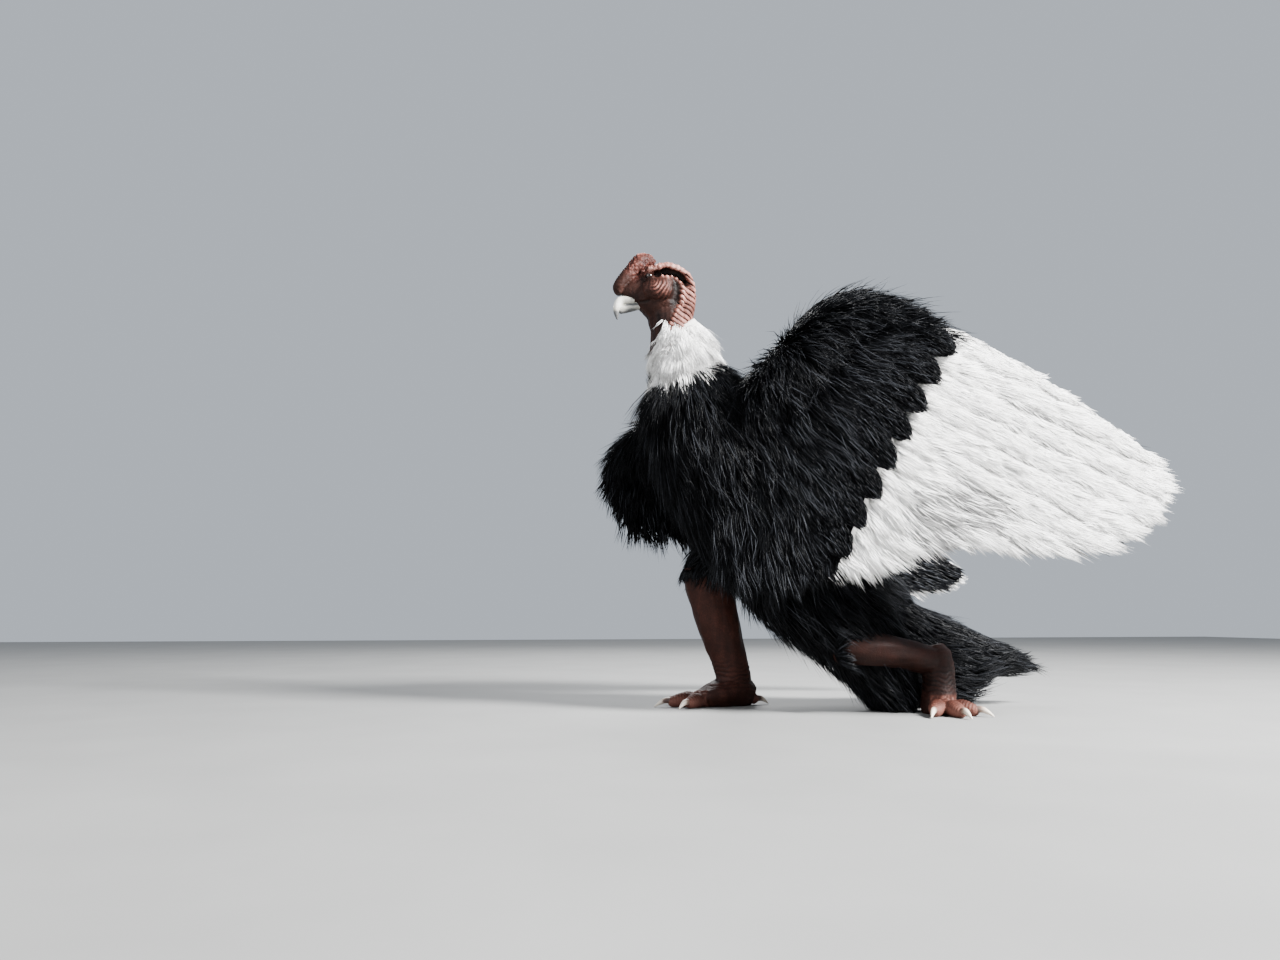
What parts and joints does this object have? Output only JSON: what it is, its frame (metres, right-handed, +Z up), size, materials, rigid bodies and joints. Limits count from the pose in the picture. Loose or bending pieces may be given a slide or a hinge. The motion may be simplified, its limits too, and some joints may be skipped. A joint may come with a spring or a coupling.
{
  "type": "giant andean condor costume figure",
  "caption": "Life-size crouching Andean condor creature suit in black and white faux fur, one wing raised and one held low, rubber head, legs and claws.",
  "frame": {"origin": "centre of the footprint of the whole figure's box, on the floor it stands on", "axes": "+Z up; the bird faces -X; its left wing, the raised one, is towards -Y"},
  "size_m": [1.4268, 1.0616, 1.4216],
  "materials": {
    "black_fur": "long-pile black faux fur, slightly glossy strands",
    "white_fur": "long-pile warm white faux fur",
    "head_skin": "wrinkled painted latex skin, matt with a faint sheen",
    "comb": "pitted painted latex comb",
    "leg_rubber": "scaly reddish brown latex",
    "beak": "smooth ivory resin",
    "claw": "worn horn-coloured resin",
    "eye": "polished dark eye"
  },
  "bodies": {
    "root": {"torso": "black_fur", "tail": "black_fur", "eye_left": "eye", "eye_right": "eye", "comb": "comb", "beak_lower": "beak", "beak_upper": "beak", "head": "head_skin", "neck": "head_skin", "nape_folds": "head_skin", "ruff": "white_fur", "wing_left_coverts": "black_fur", "wing_left_fan": "white_fur", "wing_right_coverts": "black_fur", "wing_right_fan": "white_fur", "claw_right_inner": "claw", "claw_right_middle": "claw", "claw_right_outer": "claw", "claw_right_hind": "claw", "foot_right": "leg_rubber", "shin_right": "leg_rubber", "thigh_right": "black_fur", "claw_left_inner": "claw", "claw_left_middle": "claw", "claw_left_outer": "claw", "claw_left_hind": "claw", "foot_left": "leg_rubber", "shin_left": "leg_rubber", "thigh_left": "black_fur"}
  },
  "joints": []
}
